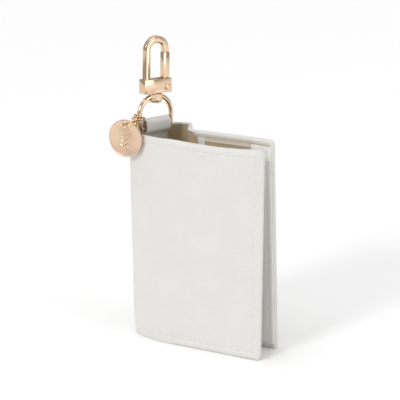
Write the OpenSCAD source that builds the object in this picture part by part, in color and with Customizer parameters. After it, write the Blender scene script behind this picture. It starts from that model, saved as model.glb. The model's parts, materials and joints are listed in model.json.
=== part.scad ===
// Pocket prayer book cover: two boarded leather covers hinged on a soft looped spine,
// a strap loop sewn inside the spine, a swivel clasp and a round charm.
// Plan view: the fore edge is on the +X side, the front cover on the -Y side.

/* [Case] */
// Height of the covers and the spine
case_h = 105; // [80:1:150]
// Length of the front face, from the fore edge to where the spine starts to curve
cover_w = 52; // [42:1:80]
// Thickness over both closed covers at the fore edge
case_d = 20.6; // [17:0.2:26]
// Thickness of one finished cover
cover_t = 3.2; // [2.6:0.1:4.2]

/* [Cover layers] */
// Thickness of the outer leather
skin_t = 0.8; // [0.6:0.1:1.2]
// Thickness of the foam under the leather
pad_t = 0.7; // [0.4:0.1:1]
// Thickness of the stiff board
board_t = 1; // [0.6:0.1:1.4]
// Width of the leather turned in round the cover's edge
turn_in = 2.4; // [1.6:0.2:5]
// Thickness of the inner pocket's cloth
pocket_t = 0.5; // [0.3:0.1:0.8]
// Distance of the pocket's top edge below the cover's top edge
pocket_drop = 3; // [2.6:0.2:30]
// Distance of the leather facing's inner side from the fore edge
facing_w = 11.5; // [6:0.5:20]
// Width of the leather edge along the pocket's mouth, on the spine side
binding_w = 4; // [2.5:0.5:8]
// Thickness of that leather edge
binding_t = 0.9; // [0.6:0.1:1.2]

/* [Spine] */
// Thickness of the spine's lining cloth
lining_t = 0.8; // [0.5:0.1:1.2]
// Thickness of the spine's outer leather
spine_skin_t = 1; // [0.6:0.1:1.4]
// Clear width between a cover's hinge line and the spine's end
hinge_gap = 2.5; // [2.4:0.1:4]
// Radius of the long ease from the front face into the spine
ease_r = 48; // [30:1:70]
// Turn of that ease in degrees
ease_turn = 25; // [15:1:35]
// Radius of the spine's front crown
crown_r = 7.5; // [5:0.5:12]
// Turn of the crown in degrees
crown_turn = 81; // [70:1:90]
// Length of the nearly flat spine wall that carries the strap loop
flank_len = 21.5; // [18:0.5:32]
// Turn along that wall in degrees
flank_turn = 16; // [8:1:24]
// Radius of the back shoulder
shoulder_r = 8; // [4:0.5:9]
// Radius where the spine runs into the back cover
waist_r = 4; // [2:0.5:12]
// Slope of the wall between the shoulder and the back cover
waist_turn = 64; // [30:1:85]

/* [Stitching] */
// Distance of the stitch line from the edge
stitch_inset = 3.6; // [3:0.2:6]
// Distance from one stitch to the next
stitch_pitch = 3.9; // [2.5:0.1:6]
// Length of one stitch
stitch_len = 3; // [1.5:0.1:4.5]
// Width of the thread
thread_w = 0.5; // [0.3:0.05:0.8]
// Height of the thread on the leather
thread_h = 0.2; // [0.1:0.05:0.4]

/* [Strap loop] */
// Width of the strap
strap_w = 14.4; // [10:0.2:20]
// Thickness of the strap's leather
strap_t = 0.9; // [0.6:0.1:1.4]
// Height of the fold above the spine's rim
strap_rise = 5.2; // [4:0.2:12]
// Length of the sewn tail below the rim
strap_tail = 13; // [8:0.5:30]
// Clearance between the strap and the ring's bar
strap_clear = 0.35; // [0.2:0.05:0.8]

/* [Swivel clasp] */
// Radius of the ring's wire
wire_r = 1.2; // [0.9:0.1:1.8]
// Gap between the strap's edges and the ring's sides
side_gap = 1.2; // [0.3:0.05:2]
// Gap that the ring keeps to the strap's back edge as it hangs to the front
ring_rest_gap = 0.35; // [0.3:0.05:1]
// Lean of the ring and the clasp along the spine wall in degrees
ring_lean = 2.5; // [0:0.5:5]
// Depth of the ring's bar below the strap's fold
bar_drop = 5.3; // [3.6:0.1:8]
// Length of the ring's straight sides above the bar
side_h = 6.6; // [5:0.2:12]
// Radius of the ring's lower corners
corner_r = 3.8; // [1.8:0.1:4.5]
// Radius of the barrel that the clasp turns in
barrel_r = 3.5; // [2.8:0.1:5]
// Height of that barrel
barrel_h = 3.7; // [3:0.1:6]
// Radius of the swivel rivet
rivet_r = 1.4; // [1:0.1:2]
// Radius of the rivet's head
rivet_head_r = 3; // [2.4:0.1:4]
// Thickness of the rivet's head
rivet_head_h = 1.2; // [0.8:0.1:2]
// Running clearance of pins in their bores
run_clear = 0.05; // [0.02:0.01:0.1]
// Axial play between turning pieces
face_clear = 0.15; // [0.1:0.05:0.4]
// Thickness of the block's end walls beyond the gate's foot
end_wall = 0.4; // [0.3:0.05:2]
// Depth of the clasp's block
block_d = 5; // [4.4:0.1:8]
// Height of the clasp's block
block_h = 7; // [6:0.2:10]
// Outer width of the hook
hook_w = 14.5; // [12.6:0.1:22]
// Height of the hook above the block
hook_h = 21.2; // [16:0.2:36]
// Width of the hook's bar
bar_w = 3.5; // [2.6:0.1:5]
// Depth of the hook's bar
bar_d = 3.2; // [2.6:0.1:4.6]
// Radius of the gate's pin
pin_r = 0.8; // [0.6:0.05:1.2]
// Angle that the gate opens inward
gate_open = 25; // [15:1:28]

/* [Charm] */
// Radius of the charm
charm_r = 9.2; // [6:0.1:14]
// Thickness of the charm
charm_t = 1.4; // [1:0.1:2.4]
// Distance of the charm's back in front of the plane of the front face
charm_out = -0.5; // [-0.6:0.1:2]
// Distance of the charm's hole from its edge
charm_hole_in = 2; // [1.8:0.1:4]
// Radius of the charm's hole
charm_hole_r = 1.1; // [0.9:0.05:1.6]
// Radius of the wire of the link rings
link_wire_r = 0.45; // [0.35:0.05:0.7]
// Clearance where one ring bears in the next
link_clear = 0.1; // [0.05:0.01:0.3]
// Gap between the lower ring and the charm's edge
charm_edge_gap = 0.05; // [0.03:0.01:0.5]

/* [Hidden] */
$fn = 64;

leather = [0.92, 0.91, 0.88];
cloth = [0.77, 0.69, 0.56];
thread = [0.97, 0.96, 0.93];
gold = [0.86, 0.71, 0.58];
yellow_gold = [0.88, 0.7, 0.36];
board = [0.62, 0.55, 0.46];
foam = [0.9, 0.89, 0.85];

// Spine outline: stations of [point, heading], walked from the front face to the back cover
function right_of(h) = [sin(h), -cos(h)];
function along(h) = [cos(h), sin(h)];
function bend(p, h, r, turn, n) = [for (i = [0:n]) let (g = h - turn * i / n)
    [p + sign(turn) * r * (right_of(h) - right_of(g)), g]];
function last(v) = v[len(v) - 1];
function tail(v) = [for (i = [1:len(v) - 1]) v[i]];
function shifted(path, d) = [for (s = path) s[0] + d * right_of(s[1])];
function reversed(v) = [for (i = [len(v) - 1:-1:0]) v[i]];

flank_r = flank_len / (flank_turn * PI / 180);
ease = bend([-cover_w, 0], 180, ease_r, ease_turn, 6);
crown = bend(last(ease)[0], last(ease)[1], crown_r, crown_turn, 10);
flank = bend(last(crown)[0], last(crown)[1], flank_r, flank_turn, 4);
shoulder = bend(last(flank)[0], last(flank)[1], shoulder_r, last(flank)[1] + waist_turn, 12);
waist_drop = waist_r * (1 - cos(waist_turn));
waist_run = (last(shoulder)[0][1] - case_d - waist_drop) / sin(waist_turn);
waist_start = last(shoulder)[0] + waist_run * along(-waist_turn);
waist = bend(waist_start, -waist_turn, waist_r, -waist_turn, 6);
spine_path = concat(ease, tail(crown), tail(flank), tail(shoulder), waist);
spine_t = spine_skin_t + lining_t;
lining_inset = 1;

// Covers
front_hinge_x = -cover_w + hinge_gap;
back_hinge_x = last(waist)[0][0] + hinge_gap;
hinge_seam = 0.4;
core_start = cover_t / 2 + hinge_seam;
core_t = cover_t - skin_t;
inner_lining_t = core_t - pad_t - board_t;
pocket_tuck = 1;
pocket_bottom = stitch_inset - pocket_tuck;
thread_lift = 0.02;

// Strap loop and swivel ring, in a frame whose X runs along the flank and +Y faces outward
row_inset = 1.5;
loop_r = wire_r + strap_clear;
loop_half = loop_r + strap_t;
flank_sag = pow(strap_w, 2) / (8 * (flank_r - spine_t));
loop_angle = flank[2][1];
sewn_gap = 0.05;
loop_p = flank[2][0] + (spine_t + flank_sag + sewn_gap + loop_half) * right_of(loop_angle);
fold_z = case_h + strap_rise;
bar_z = fold_z - bar_drop;
ring_r = strap_w / 2 + side_gap + wire_r;
ring_shift = ring_rest_gap - side_gap;
arch_z = bar_z + side_h;
ring_top = arch_z + ring_r + wire_r;
barrel_z = ring_top - barrel_h;

// Clasp; the slot in its block takes the gate's foot and the open gate's inner face
block_z = ring_top + face_clear;
block_top = block_z + block_h;
rivet_depth = 2.4;
arch_r = (hook_w - bar_w) / 2;
hook_z = block_top + hook_h - hook_w / 2;
bar_chamfer = 0.7;
tip_drop = 0.9;
tip_z = hook_z - tip_drop;
pin_in = 1.35;
pin_rise = 2.75;
pin_x = hook_w / 2 - pin_in;
pin_z = block_z + pin_rise;
pin_fit = 0.02;
pin_head_r = 1.35;
pin_head_h = 0.35;
cheek_t = 0.85;
foot_r = 1.6;
foot_side = 0.2;
slot_clear = 0.25;
slot_d = block_d - 2 * cheek_t;
slot_end = pin_x + foot_r + foot_side;
slot_floor = pin_z - foot_r - slot_clear;
block_l = 2 * (slot_end + end_wall);
gate_back = pin_x - arch_r + bar_w / 2;
gate_foot_h = foot_r + slot_clear;
gate_reach = (gate_back + (block_top - pin_z) * sin(gate_open)) / cos(gate_open);
slot_low_x = pin_x - norm([gate_back, gate_foot_h]) - slot_clear;
slot_top_x = pin_x - gate_reach - slot_clear;
gate_top = tip_z - slot_clear;
gate_d = slot_d - 2 * foot_side;
spring_wire_r = 0.22;
spring_clear = 0.12;
spring_r = pin_r + run_clear + spring_wire_r + spring_clear;
spring_turns = 3;
spring_pitch = 0.42;
foot_back = gate_d / 2 - spring_turns * spring_pitch - foot_side;

// Charm and its chain of three link rings, from the ring's near side to the charm's hole.
// The lower ring passes round the charm's edge, tilted so that it clears the edge, and the
// upper two share the rest of the way.
function turned(v, a) = [v[0] * cos(a) - v[1] * sin(a), v[0] * sin(a) + v[1] * cos(a)];
charm_side = 0.5;
link_rise = 0.45;
lower_entry = 20;
lower_tilt = 6;
charm_border = 0.6;
charm_recess = 0.15;
link_z = fold_z + link_wire_r + link_rise;
side_rise = (link_z - bar_z - ring_r * sin(ring_lean)) / cos(ring_lean);
side_s = ring_shift - ring_r * cos(ring_lean) + side_rise * sin(ring_lean);
side_p = loop_p + turned([side_s, 0], loop_angle);
charm_x = side_p[0] - charm_side;
charm_y = -charm_out - charm_t / 2;
charm_chord = sqrt(pow(charm_r, 2) - pow(charm_r - charm_hole_in, 2));
lower_r = (charm_chord + link_wire_r + charm_edge_gap) / (2 * cos(lower_entry));
charm_hole_z = link_z - lower_r * sin(lower_tilt);
charm_z = charm_hole_z - charm_r + charm_hole_in;
lower_c = [charm_x, charm_y] + lower_r * cos(lower_tilt) * along(lower_entry);
chain_len = norm(lower_c - side_p);
link_r = (chain_len - lower_r + wire_r + 5 * link_wire_r + 3 * link_clear) / 4;
chain_dir = (lower_c - side_p) / chain_len;
chain_angle = atan2(chain_dir[1], chain_dir[0]);
middle_c = lower_c - (lower_r + link_r - 2 * link_wire_r - link_clear) * chain_dir;
upper_c = middle_c - (2 * link_r - 2 * link_wire_r - link_clear) * chain_dir;

// The origin is the middle of the whole model's box, on the surface it stands on
left_x = charm_x - charm_r;
front_y = min(charm_y - charm_t / 2, lower_c[1] - lower_r - link_wire_r);
back_y = last(flank)[0][1] + shoulder_r * (1 - cos(last(flank)[1]));
mid_x = left_x / 2;
mid_y = (front_y + back_y) / 2;

module placed() {
    translate([-mid_x, -mid_y, 0]) children();
}

module at_loop() {
    translate([loop_p[0], loop_p[1], 0]) rotate([0, 0, loop_angle]) children();
}

// The ring and the clasp lean about the middle of the ring's bar
module at_ring() {
    at_loop() translate([ring_shift, 0, bar_z]) rotate([0, ring_lean, 0])
        translate([0, 0, -bar_z]) children();
}

module at_back() {
    translate([0, case_d, 0]) mirror([0, 1, 0]) children();
}

// One layer of the spine wall between two depths below its outer face
module spine_layer(d0, d1, inset) {
    translate([0, 0, inset])
        linear_extrude(case_h - 2 * inset)
            polygon(concat(shifted(spine_path, d0), reversed(shifted(spine_path, d1))));
}

// A cover's outline in plan, round at the hinge line and at the fore edge
module cover_slab(hinge_x) {
    linear_extrude(case_h) {
        for (x = [hinge_x, -cover_t / 2])
            translate([x, cover_t / 2]) circle(cover_t / 2);
        translate([hinge_x, 0]) square([-hinge_x - cover_t / 2, cover_t]);
    }
}

module cover_core(hinge_x, y, t) {
    translate([hinge_x + core_start, y, turn_in])
        cube([-hinge_x - core_start - turn_in, t, case_h - 2 * turn_in]);
}

module cover_skin(hinge_x) {
    color(leather) difference() {
        cover_slab(hinge_x);
        cover_core(hinge_x, skin_t, core_t + 1);
    }
}

module cover_padding(hinge_x) {
    color(foam) cover_core(hinge_x, skin_t, pad_t);
}

module cover_board(hinge_x) {
    color(board) cover_core(hinge_x, skin_t + pad_t, board_t);
}

module cover_lining(hinge_x) {
    color(cloth) cover_core(hinge_x, cover_t - inner_lining_t, inner_lining_t);
}

module cover_pocket(hinge_x) {
    start = hinge_x + core_start + binding_w;
    color(cloth) translate([start, cover_t, pocket_bottom])
        cube([-start - facing_w, pocket_t, case_h - pocket_bottom - pocket_drop]);
}

module cover_facing() {
    color(leather) translate([-facing_w, cover_t, pocket_bottom])
        cube([facing_w - turn_in, pocket_t, case_h - pocket_bottom - pocket_drop]);
}

module cover_pocket_edge(hinge_x) {
    color(leather) translate([hinge_x + core_start, cover_t, pocket_bottom])
        cube([binding_w, binding_t, case_h - pocket_bottom - pocket_drop]);
}

// Rows of stitches along the cover's top, bottom and fore edge
module cover_stitching(hinge_x) {
    run = -hinge_x - stitch_inset - cover_t / 2;
    across = floor(run / stitch_pitch);
    rise = case_h - 2 * stitch_inset;
    up = floor(rise / stitch_pitch);
    color(thread) {
        for (i = [0:across - 1])
            for (z = [stitch_inset, case_h - stitch_inset])
                translate([-stitch_inset - (i + 0.5) * run / across - stitch_len / 2, -thread_h,
                    z - thread_w / 2])
                    cube([stitch_len, thread_h, thread_w]);
        for (i = [0:up - 1])
            translate([-stitch_inset - thread_w / 2, -thread_h,
                stitch_inset + (i + 0.5) * rise / up - stitch_len / 2])
                cube([thread_w, thread_h, stitch_len]);
    }
}

module spine_skin() {
    color(leather) placed() spine_layer(0, spine_skin_t, 0);
}

module spine_lining() {
    color(cloth) placed() spine_layer(spine_skin_t, spine_t, lining_inset);
}

// Stitches along the ease, where the front face's rows run on into the spine
module spine_stitching() {
    steps = floor(ease_r * ease_turn * PI / 180 / stitch_pitch);
    color(thread) placed()
        for (i = [0:steps - 1]) {
            turn = ease_turn * (i + 0.5) / steps;
            s = bend([-cover_w, 0], 180, ease_r, turn, 1)[1];
            for (z = [stitch_inset, case_h - stitch_inset])
                translate([s[0][0], s[0][1], z]) rotate([0, 0, s[1]])
                    translate([-stitch_len / 2, thread_lift, -thread_w / 2])
                        cube([stitch_len, thread_h, thread_w]);
        }
}

// Strap folded over the ring's bar, its two legs sewn together below it
module strap_loop() {
    fold_c = fold_z - strap_t - loop_r;
    color(leather) placed() at_loop() translate([-strap_w / 2, 0, 0]) rotate([90, 0, 90])
        linear_extrude(strap_w) difference() {
            union() {
                for (z = [fold_c, bar_z]) translate([0, z]) circle(loop_half);
                translate([-loop_half, bar_z]) square([2 * loop_half, fold_c - bar_z]);
                translate([loop_r - strap_t, case_h - strap_tail])
                    square([2 * strap_t, bar_z - case_h + strap_tail]);
            }
            for (z = [fold_c, bar_z]) translate([0, z]) circle(loop_r);
            translate([-loop_r, bar_z]) square([2 * loop_r, fold_c - bar_z]);
        }
}

module strap_stitching() {
    row = strap_w - 2 * row_inset;
    count = floor(row / stitch_pitch);
    color(thread) placed() at_loop()
        for (i = [0:count - 1])
            for (z = [case_h - strap_tail + row_inset, bar_z - loop_half - row_inset])
                translate([-row / 2 + (i + 0.5) * row / count - stitch_len / 2,
                    loop_r - strap_t - thread_h, z])
                    cube([stitch_len, thread_h, thread_w]);
}

module front_skin() { placed() cover_skin(front_hinge_x); }
module front_padding() { placed() cover_padding(front_hinge_x); }
module front_board() { placed() cover_board(front_hinge_x); }
module front_lining() { placed() cover_lining(front_hinge_x); }
module front_pocket() { placed() cover_pocket(front_hinge_x); }
module front_facing() { placed() cover_facing(); }
module front_pocket_edge() { placed() cover_pocket_edge(front_hinge_x); }
module front_stitching() { placed() cover_stitching(front_hinge_x); }
module back_skin() { placed() at_back() cover_skin(back_hinge_x); }
module back_padding() { placed() at_back() cover_padding(back_hinge_x); }
module back_board() { placed() at_back() cover_board(back_hinge_x); }
module back_lining() { placed() at_back() cover_lining(back_hinge_x); }
module back_pocket() { placed() at_back() cover_pocket(back_hinge_x); }
module back_facing() { placed() at_back() cover_facing(); }
module back_pocket_edge() { placed() at_back() cover_pocket_edge(back_hinge_x); }
module back_stitching() { placed() at_back() cover_stitching(back_hinge_x); }

// D-shaped ring: half-round arch, straight sides, round corners and a bar for the strap
module swivel_ring() {
    color(gold) placed() at_ring() difference() {
        union() {
            translate([0, 0, arch_z]) rotate([90, 0, 0]) rotate_extrude(angle = 180)
                translate([ring_r, 0]) circle(wire_r);
            for (m = [0, 1]) mirror([m, 0, 0]) {
                translate([ring_r, 0, bar_z + corner_r])
                    cylinder(r = wire_r, h = side_h - corner_r);
                translate([ring_r - corner_r, 0, bar_z + corner_r]) rotate([90, 0, 0])
                    rotate([0, 0, -90]) rotate_extrude(angle = 90)
                        translate([corner_r, 0]) circle(wire_r);
            }
            translate([-ring_r + corner_r, 0, bar_z]) rotate([0, 90, 0])
                cylinder(r = wire_r, h = 2 * (ring_r - corner_r));
            translate([0, 0, barrel_z]) cylinder(r = barrel_r, h = barrel_h);
        }
        translate([0, 0, barrel_z - 1]) cylinder(r = rivet_r + run_clear, h = barrel_h + 2);
    }
}

// Section of the hook's bar, with its corners taken off
module bar_section() {
    a = bar_w / 2;
    b = bar_d / 2;
    c = bar_chamfer;
    polygon([[a, -b + c], [a, b - c], [a - c, b], [c - a, b], [-a, b - c], [-a, c - b],
        [c - a, -b], [a - c, -b]]);
}

module clasp_body() {
    color(gold) placed() at_ring() difference() {
        union() {
            translate([-block_l / 2, -block_d / 2, block_z]) cube([block_l, block_d, block_h]);
            translate([-arch_r, 0, block_top - 0.5])
                linear_extrude(hook_z - block_top + 0.5) bar_section();
            translate([0, 0, hook_z]) rotate([90, 0, 0]) rotate_extrude(angle = 180)
                translate([arch_r, 0]) bar_section();
            translate([arch_r, 0, tip_z]) linear_extrude(hook_z - tip_z) bar_section();
        }
        translate([0, slot_d / 2, 0]) rotate([90, 0, 0]) linear_extrude(slot_d)
            polygon([[slot_low_x, slot_floor], [slot_end, slot_floor],
                [slot_end, block_top + 1], [slot_top_x, block_top + 1],
                [slot_top_x, block_top]]);
        translate([pin_x, block_d, pin_z]) rotate([90, 0, 0])
            cylinder(r = pin_r + pin_fit, h = 2 * block_d);
        translate([0, 0, block_z - 1]) cylinder(r = rivet_r, h = rivet_depth + 1);
    }
}

// Rivet pressed into the block, turning in the ring's barrel
module swivel_rivet() {
    head_z = barrel_z - face_clear - rivet_head_h;
    color(gold) placed() at_ring() {
        translate([0, 0, head_z]) cylinder(r = rivet_head_r, h = rivet_head_h);
        translate([0, 0, head_z]) cylinder(r = rivet_r, h = block_z + rivet_depth - head_z);
    }
}

module gate_pin() {
    color(gold) placed() at_ring() translate([pin_x, 0, pin_z]) rotate([90, 0, 0]) {
        cylinder(r = pin_r, h = block_d + 2 * pin_head_h, center = true);
        for (m = [0, 1]) mirror([0, 0, m])
            translate([0, 0, block_d / 2]) cylinder(r = pin_head_r, h = pin_head_h);
    }
}

// Torsion spring on the gate's pin, beside the gate's foot
module gate_spring() {
    color("silver") placed() at_ring() translate([pin_x, 0, pin_z]) rotate([-90, 0, 0])
        for (i = [0:spring_turns - 1])
            translate([0, 0, gate_d / 2 - spring_wire_r - i * spring_pitch])
                rotate_extrude() translate([spring_r, 0]) circle(spring_wire_r, $fn = 24);
}

module clasp_gate() {
    bar_foot = pin_z + gate_foot_h;
    color(gold) placed() at_ring() difference() {
        union() {
            translate([arch_r - bar_w / 2, -gate_d / 2, bar_foot])
                cube([bar_w, gate_d, gate_top - bar_foot]);
            translate([pin_x - foot_r, -gate_d / 2, pin_z])
                cube([2 * foot_r, gate_d / 2 + foot_back, bar_foot - pin_z]);
            translate([pin_x, -gate_d / 2, pin_z]) rotate([-90, 0, 0])
                cylinder(r = foot_r, h = gate_d / 2 + foot_back);
        }
        translate([pin_x, block_d, pin_z]) rotate([90, 0, 0])
            cylinder(r = pin_r + run_clear, h = 2 * block_d);
    }
}

module link_ring(r) {
    color(yellow_gold) rotate_extrude() translate([r, 0]) circle(link_wire_r, $fn = 32);
}

module upper_link_ring() {
    placed() translate([upper_c[0], upper_c[1], link_z]) link_ring(link_r);
}

module middle_link_ring() {
    placed() translate([middle_c[0], middle_c[1], link_z]) rotate([0, 0, chain_angle])
        rotate([90, 0, 0]) link_ring(link_r);
}

module lower_link_ring() {
    placed() translate([lower_c[0], lower_c[1], link_z]) rotate([0, -lower_tilt, lower_entry])
        link_ring(lower_r);
}

// Round charm with a plain raised border on both faces
module charm_disc() {
    color(gold) placed() translate([charm_x, charm_y, charm_z]) rotate([90, 0, 0])
        difference() {
            cylinder(r = charm_r, h = charm_t, center = true, $fn = 96);
            for (m = [0, 1]) mirror([0, 0, m])
                translate([0, 0, charm_t / 2 - charm_recess])
                    cylinder(r = charm_r - charm_border, h = charm_t, $fn = 96);
            translate([0, charm_r - charm_hole_in, -charm_t])
                cylinder(r = charm_hole_r, h = 2 * charm_t);
        }
}

spine_skin();
spine_lining();
spine_stitching();
strap_loop();
strap_stitching();
front_skin();
front_padding();
front_board();
front_lining();
front_pocket();
front_facing();
front_pocket_edge();
front_stitching();
back_skin();
back_padding();
back_board();
back_lining();
back_pocket();
back_facing();
back_pocket_edge();
back_stitching();
swivel_ring();
clasp_body();
swivel_rivet();
gate_pin();
gate_spring();
clasp_gate();
upper_link_ring();
middle_link_ring();
lower_link_ring();
charm_disc();
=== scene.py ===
import json
import math
import bpy
import bmesh
import numpy as np
from mathutils import Matrix, Vector, noise


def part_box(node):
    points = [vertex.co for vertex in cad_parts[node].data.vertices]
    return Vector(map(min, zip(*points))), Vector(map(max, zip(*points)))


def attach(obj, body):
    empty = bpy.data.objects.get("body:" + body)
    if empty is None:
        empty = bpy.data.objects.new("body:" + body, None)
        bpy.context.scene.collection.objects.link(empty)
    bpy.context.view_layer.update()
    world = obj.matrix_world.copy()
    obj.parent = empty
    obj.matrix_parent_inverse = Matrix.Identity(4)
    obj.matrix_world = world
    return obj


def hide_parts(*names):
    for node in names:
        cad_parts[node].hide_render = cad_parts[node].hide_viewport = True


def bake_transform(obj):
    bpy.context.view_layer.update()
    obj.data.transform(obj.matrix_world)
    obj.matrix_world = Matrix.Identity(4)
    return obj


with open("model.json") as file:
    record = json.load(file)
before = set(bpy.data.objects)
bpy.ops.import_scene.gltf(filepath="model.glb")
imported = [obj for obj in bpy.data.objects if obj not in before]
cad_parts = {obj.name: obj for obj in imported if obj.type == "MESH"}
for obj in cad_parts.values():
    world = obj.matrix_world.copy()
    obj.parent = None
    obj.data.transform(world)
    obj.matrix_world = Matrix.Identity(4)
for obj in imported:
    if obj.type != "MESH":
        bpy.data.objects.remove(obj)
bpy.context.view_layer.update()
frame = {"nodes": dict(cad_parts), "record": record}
mm = 0.001
joints = {j["name"]: j for j in frame["record"]["behaviour"]["joints"]}

# The case's outline in plan, in millimetres from the front cover's fore edge: straight runs and arcs.
case = dict(high=105.0, coverWide=52.0, coverThick=3.2, deep=20.6, spineThick=1.8, hingeGap=2.5,
            easeRadius=48.0, easeTurn=25.0, crownRadius=7.5, crownTurn=81.0, flankLong=21.5, flankTurn=16.0,
            shoulderRadius=8.0, waistRadius=4.0, waistTurn=64.0)
hingeAt = joints["front_cover_hinge"]["pos_m"]
originX = hingeAt[0] / mm + case["coverWide"] - case["hingeGap"]
originY = hingeAt[1] / mm - case["coverThick"] / 2


def place(x, y, z):
    return Vector(((x + originX) * mm, (y + originY) * mm, z * mm))


view = dict(fromCase=(272.1, -554.0, 264.0), yaw=28.8, pitch=16.44, roll=-0.88, lens=124.2)
room = dict(floorSize=10.0, floorColour=(0.97, 0.97, 0.97), horizon=0.38, zenith=0.74)
suns = dict(
    key=dict(strength=0.98, toLight=(-0.30, -1.0, 0.56), softness=15),
    top=dict(strength=0.80, toLight=(-0.1, -0.05, 1.0), softness=60),
)
softBoxes = dict(
    front=dict(power=0.3, place=(-0.55, -0.95, 0.55), size=0.8),
    right=dict(power=1.7, place=(0.95, -0.12, 0.3), size=0.5),
)


def linked(ob):
    bpy.context.scene.collection.objects.link(ob)
    return ob


def aimedAt(ob, place, target):
    ob.location = place
    ob.rotation_mode = "QUATERNION"
    ob.rotation_quaternion = (Vector(target) - Vector(place)).to_track_quat("-Z", "Y")


def makeCamera(v):
    data = bpy.data.cameras.new("camera")
    data.lens, data.sensor_width = v["lens"], 36
    data.clip_start, data.clip_end = 0.05, 50
    camera = linked(bpy.data.objects.new("camera", data))
    yaw, pitch, roll = (math.radians(v[k]) for k in ("yaw", "pitch", "roll"))
    turn = Matrix.Rotation(yaw, 4, "Z") @ Matrix.Rotation(math.pi / 2 - pitch, 4, "X")
    camera.matrix_world = Matrix.Translation(place(*v["fromCase"])) @ turn @ Matrix.Rotation(roll, 4, "Z")
    bpy.context.scene.camera = camera


def makeRoom(r):
    half = r["floorSize"] / 2
    mesh = bpy.data.meshes.new("floor")
    corners = [(-half, -half, 0), (half, -half, 0), (half, half, 0), (-half, half, 0)]
    mesh.from_pydata(corners, [], [(0, 1, 2, 3)])
    linked(bpy.data.objects.new("floor", mesh))
    mat = bpy.data.materials.new("paleFloor")
    mat.use_nodes = True
    mat.node_tree.nodes["Principled BSDF"].inputs["Base Color"].default_value = (*r["floorColour"], 1)
    mat.node_tree.nodes["Principled BSDF"].inputs["Roughness"].default_value = 0.9
    mesh.materials.append(mat)
    world = bpy.data.worlds.new("studio")
    world.use_nodes = True
    nodes, links = world.node_tree.nodes, world.node_tree.links
    where = nodes.new("ShaderNodeTexCoord")
    split = nodes.new("ShaderNodeSeparateXYZ")
    grade = nodes.new("ShaderNodeMapRange")
    grade.inputs["To Min"].default_value = r["horizon"]
    grade.inputs["To Max"].default_value = r["zenith"]
    links.new(where.outputs["Generated"], split.inputs[0])
    links.new(split.outputs["Z"], grade.inputs["Value"])
    links.new(grade.outputs[0], nodes["Background"].inputs["Strength"])
    nodes["Background"].inputs["Color"].default_value = (1, 1, 1, 1)
    bpy.context.scene.world = world
    bpy.context.scene.view_settings.view_transform = "Standard"


def makeLights():
    for name, s in suns.items():
        data = bpy.data.lights.new(name + "Sun", "SUN")
        data.energy, data.angle = s["strength"], math.radians(s["softness"])
        aimedAt(linked(bpy.data.objects.new(name + "Sun", data)), s["toLight"], (0, 0, 0))
    for name, s in softBoxes.items():
        data = bpy.data.lights.new(name + "SoftBox", "AREA")
        data.energy, data.size, data.shape = s["power"], s["size"], "SQUARE"
        aimedAt(linked(bpy.data.objects.new(name + "SoftBox", data)), s["place"], (0, 0, 0.08))


makeCamera(view)
makeRoom(room)
makeLights()
print("camera, floor and light are ready")


def meshObject(name, verts, faces, material, smoothAngle=40):
    mesh = bpy.data.meshes.new(name)
    mesh.from_pydata([tuple(v) for v in verts], [], faces)
    mesh.materials.append(material)
    bm = bmesh.new()
    bm.from_mesh(mesh)
    bmesh.ops.recalc_face_normals(bm, faces=bm.faces)
    bm.to_mesh(mesh)
    bm.free()
    mesh.shade_smooth()
    mesh.set_sharp_from_angle(angle=math.radians(smoothAngle))
    return linked(bpy.data.objects.new(name, mesh))


def joined(name, obs):
    bm = bmesh.new()
    for ob in obs:
        bm.from_mesh(ob.data)
    mesh = bpy.data.meshes.new(name)
    bm.to_mesh(mesh)
    bm.free()
    mesh.materials.append(obs[0].data.materials[0])
    for ob in obs:
        bpy.data.objects.remove(ob)
    mesh.set_sharp_from_angle(angle=math.radians(40))
    return linked(bpy.data.objects.new(name, mesh))


def ease(t):
    t = min(max(t, 0.0), 1.0)
    return t * t * (3 - 2 * t)


def bump(x, width):
    return math.exp(-(x / width) ** 2)


# Finishes. A group gives only values that change over the surface; the shader stays in each material.


def newGroup(name, inputs, outputs):
    group = bpy.data.node_groups.new(name, "ShaderNodeTree")
    for label, kind, value in inputs:
        socket = group.interface.new_socket(label, in_out="INPUT", socket_type=kind)
        if value is not None:
            socket.default_value = value
    for label, kind in outputs:
        group.interface.new_socket(label, in_out="OUTPUT", socket_type=kind)
    return group, group.nodes.new("NodeGroupInput"), group.nodes.new("NodeGroupOutput")


def mathNode(nodes, links, operation, a, b=None, c=None):
    node = nodes.new("ShaderNodeMath")
    node.operation = operation
    for k, v in enumerate((a, b, c)):
        if v is None:
            continue
        if isinstance(v, (int, float)):
            node.inputs[k].default_value = v
        else:
            links.new(v, node.inputs[k])
    return node.outputs[0]


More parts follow.
